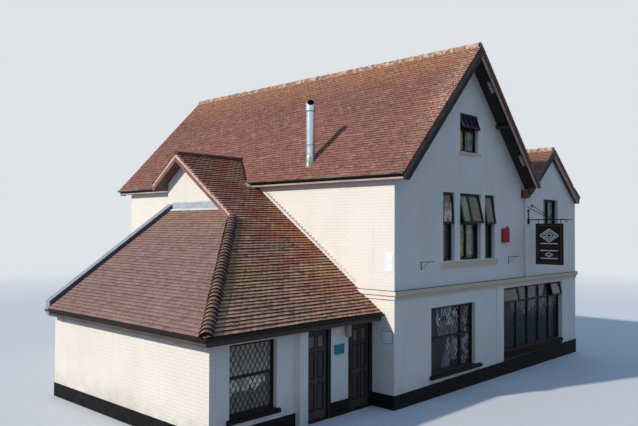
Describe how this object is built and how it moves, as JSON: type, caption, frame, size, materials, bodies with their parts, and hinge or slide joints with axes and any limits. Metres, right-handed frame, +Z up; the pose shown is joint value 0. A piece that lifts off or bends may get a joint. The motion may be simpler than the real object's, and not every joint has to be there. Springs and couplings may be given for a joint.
{
  "type": "village inn",
  "caption": "Gabled village inn of painted brick with a second lower gable, a low hipped range with doors, tiled roofs and a hanging sign.",
  "frame": {"origin": "bottom centre of the bounding box, on the ground", "axes": "+X along the street front, from the low range towards the second gable; +Y from the street to the back; +Z up"},
  "size_m": [15.7, 13.37, 9.1656],
  "materials": {
    "wall_paint": "matt masonry paint over brick and render",
    "plinth_paint": "satin black masonry paint",
    "string_paint": "masonry paint",
    "main_tiles": "weathered plain clay tiles",
    "low_tiles": "weathered plain clay tiles with moss",
    "hip_tiles": "weathered plain clay tiles",
    "ridge_clay": "half-round clay tiles bedded in mortar",
    "bonnet_clay": "weathered clay bonnet tiles bedded in mortar",
    "floor_boards": "plain boards on joists",
    "ground_concrete": "concrete slab",
    "barge_wood": "dark brown gloss paint, weathered",
    "eaves_wood": "faded brown paint",
    "gablet_wood": "faded red-brown paint",
    "purlin_wood": "off-white paint",
    "frame_wood": "dark brown-black gloss paint",
    "door_wood": "dark brown-black gloss paint",
    "glass": "clear float glass",
    "lead": "dull grey lead sheet",
    "black_plastic": "black rainwater goods",
    "pipe_paint": "painted cast iron",
    "flue_steel": "brushed stainless steel",
    "iron": "black paint on wrought iron",
    "sign_wood": "dark paint with a plain border",
    "alarm_red": "moulded cover"
  },
  "bodies": {
    "root": {"ground_street_wall": "wall_paint", "upper_street_wall": "wall_paint", "west_wall": "wall_paint", "east_wall": "wall_paint", "valley_wall": "wall_paint", "rear_wall": "wall_paint", "ground_floors": "ground_concrete", "upper_floors": "floor_boards", "plinth": "plinth_paint", "string_course": "string_paint", "main_west_slope": "main_tiles", "main_east_slope": "main_tiles", "wing_west_slope": "main_tiles", "wing_east_slope": "main_tiles", "low_south_slope": "low_tiles", "low_hip_slope": "hip_tiles", "low_north_slope": "low_tiles", "ridge_tiles": "ridge_clay", "bonnet_tiles": "bonnet_clay", "main_barge_boards": "barge_wood", "wing_barge_boards": "barge_wood", "gablet_barge_boards": "gablet_wood", "purlin_ends": "purlin_wood", "eaves_boards": "eaves_wood", "gutters": "black_plastic", "rainwater_pipes": "pipe_paint", "upper_sills": "string_paint", "ground_sills": "plinth_paint", "bay_window_frame": "frame_wood", "shop_front_frame": "frame_wood", "low_window_frame": "frame_wood", "upper_window_frames": "frame_wood", "top_lights": "frame_wood", "rear_window_frames": "frame_wood", "street_glass": "glass", "rear_glass": "glass", "door_wall": "wall_paint", "door_pier": "wall_paint", "door_lintel": "wall_paint", "low_end_wall": "wall_paint", "low_back_wall": "wall_paint", "gablet_wall": "wall_paint", "lead_kerb": "lead", "lead_flashings": "lead", "door_jambs": "frame_wood", "door_heads": "frame_wood", "flue": "flue_steel", "iron_brackets": "iron", "alarm_box": "alarm_red"},
    "left_door": {"left_door": "door_wood"},
    "right_door": {"right_door": "door_wood"},
    "sign_board": {"sign_board": "sign_wood"}
  },
  "joints": [
    {"name": "left_door_hinge", "type": "hinge", "parent": "root", "child": "left_door", "pos_m": [-4.8825, -4.5075, 1.025], "axis": [0, 0, 1], "range_deg": [0, 90]},
    {"name": "right_door_hinge", "type": "hinge", "parent": "root", "child": "right_door", "pos_m": [-2.7375, -4.5075, 1.025], "axis": [0, 0, -1], "range_deg": [0, 90]},
    {"name": "sign_swing", "type": "hinge", "parent": "root", "child": "sign_board", "pos_m": [4.079, -5.965, 4.488], "axis": [0, 1, 0], "range_deg": [-20, 20]}
  ]
}
